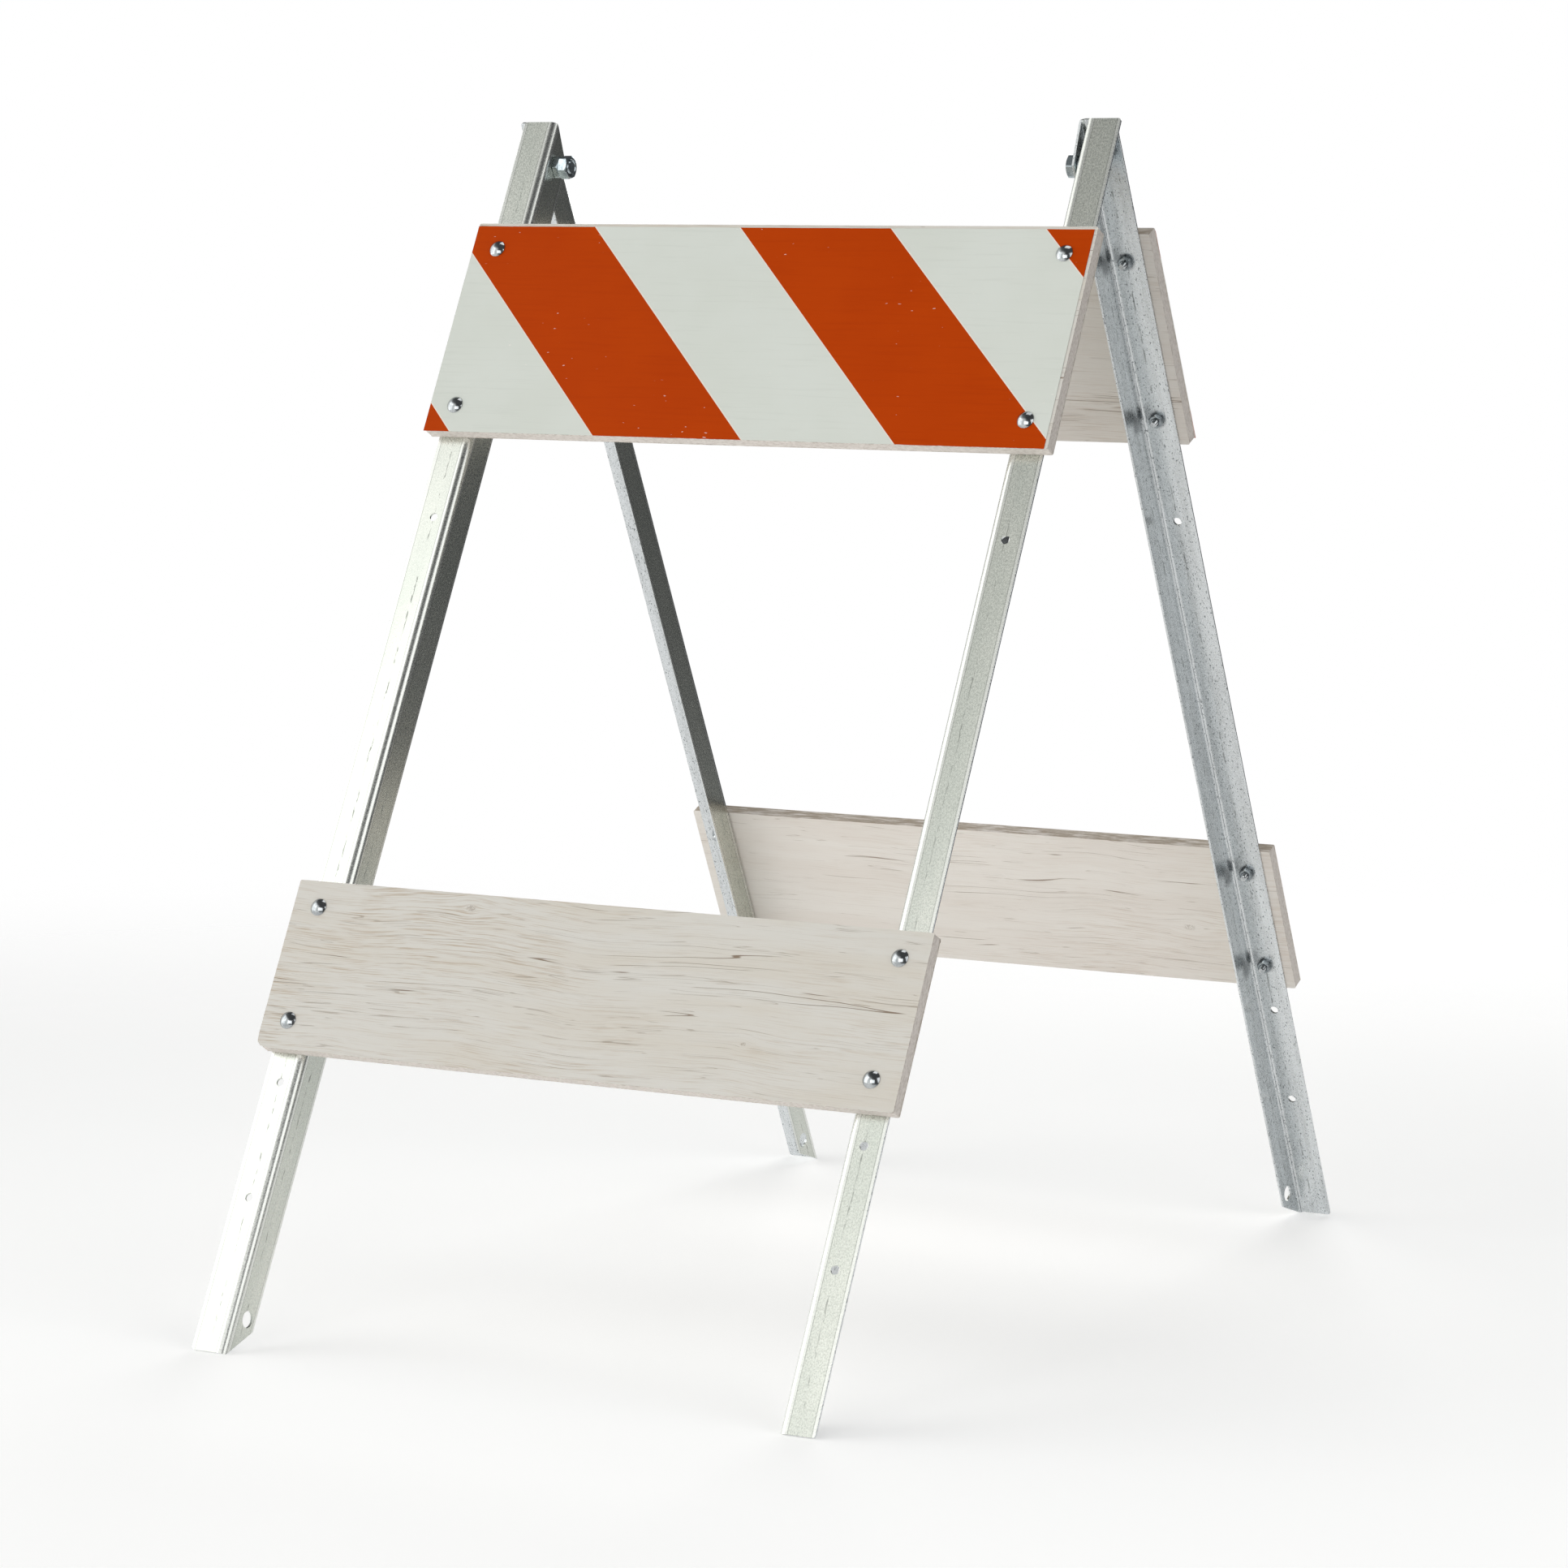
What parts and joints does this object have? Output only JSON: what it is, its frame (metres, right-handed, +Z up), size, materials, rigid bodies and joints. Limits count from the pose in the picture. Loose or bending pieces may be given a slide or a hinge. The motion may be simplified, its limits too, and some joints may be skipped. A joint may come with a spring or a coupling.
{
  "type": "folding sawhorse",
  "caption": "Folding A-frame sawhorse barricade: two hinged frames of formed steel angle legs and plywood boards, with a diagonally striped upper board.",
  "frame": {"origin": "centre of the object's bounding box at the floor, midway between the four feet", "axes": "+X along the boards and the pivot axis, -Y towards the front frame, +Z up"},
  "size_m": [0.6166, 1.0296, 1.0233],
  "materials": {
    "galvanised_steel": "galvanised, fine speckle",
    "whitewashed_plywood": "thin white paint over plywood",
    "bare_plywood": "thin pinkish primer over plywood",
    "striped_sheeting": "orange and grey-white diagonal stripes, satin",
    "pivot_zinc": "bright zinc plate",
    "bolt_zinc": "bright zinc plate"
  },
  "bodies": {
    "front_frame": {"front_bottom_board": "whitewashed_plywood", "front_bottom_left_lower_bolt": "bolt_zinc", "front_bottom_left_lower_nut": "bolt_zinc", "front_bottom_left_upper_bolt": "bolt_zinc", "front_bottom_left_upper_nut": "bolt_zinc", "front_bottom_right_lower_bolt": "bolt_zinc", "front_bottom_right_lower_nut": "bolt_zinc", "front_bottom_right_upper_bolt": "bolt_zinc", "front_bottom_right_upper_nut": "bolt_zinc", "front_left_leg": "galvanised_steel", "front_right_leg": "galvanised_steel", "front_sheeting": "striped_sheeting", "front_top_board": "whitewashed_plywood", "front_top_left_lower_bolt": "bolt_zinc", "front_top_left_lower_nut": "bolt_zinc", "front_top_left_upper_bolt": "bolt_zinc", "front_top_left_upper_nut": "bolt_zinc", "front_top_right_lower_bolt": "bolt_zinc", "front_top_right_lower_nut": "bolt_zinc", "front_top_right_upper_bolt": "bolt_zinc", "front_top_right_upper_nut": "bolt_zinc", "left_pivot_bolt": "pivot_zinc", "left_pivot_hex_nut": "pivot_zinc", "left_pivot_jam_nut": "pivot_zinc", "left_pivot_spacer": "pivot_zinc", "right_pivot_bolt": "pivot_zinc", "right_pivot_hex_nut": "pivot_zinc", "right_pivot_jam_nut": "pivot_zinc", "right_pivot_spacer": "pivot_zinc"},
    "rear_frame": {"rear_bottom_board": "bare_plywood", "rear_bottom_left_lower_bolt": "bolt_zinc", "rear_bottom_left_lower_nut": "bolt_zinc", "rear_bottom_left_upper_bolt": "bolt_zinc", "rear_bottom_left_upper_nut": "bolt_zinc", "rear_bottom_right_lower_bolt": "bolt_zinc", "rear_bottom_right_lower_nut": "bolt_zinc", "rear_bottom_right_upper_bolt": "bolt_zinc", "rear_bottom_right_upper_nut": "bolt_zinc", "rear_left_leg": "galvanised_steel", "rear_right_leg": "galvanised_steel", "rear_sheeting": "striped_sheeting", "rear_top_board": "bare_plywood", "rear_top_left_lower_bolt": "bolt_zinc", "rear_top_left_lower_nut": "bolt_zinc", "rear_top_left_upper_bolt": "bolt_zinc", "rear_top_left_upper_nut": "bolt_zinc", "rear_top_right_lower_bolt": "bolt_zinc", "rear_top_right_lower_nut": "bolt_zinc", "rear_top_right_upper_bolt": "bolt_zinc", "rear_top_right_upper_nut": "bolt_zinc"}
  },
  "joints": [
    {"name": "fold", "type": "hinge", "parent": "front_frame", "child": "rear_frame", "pos_m": [0, 0, 0.98292], "axis": [-1, 0, 0], "range_deg": [0, 53.2]}
  ]
}
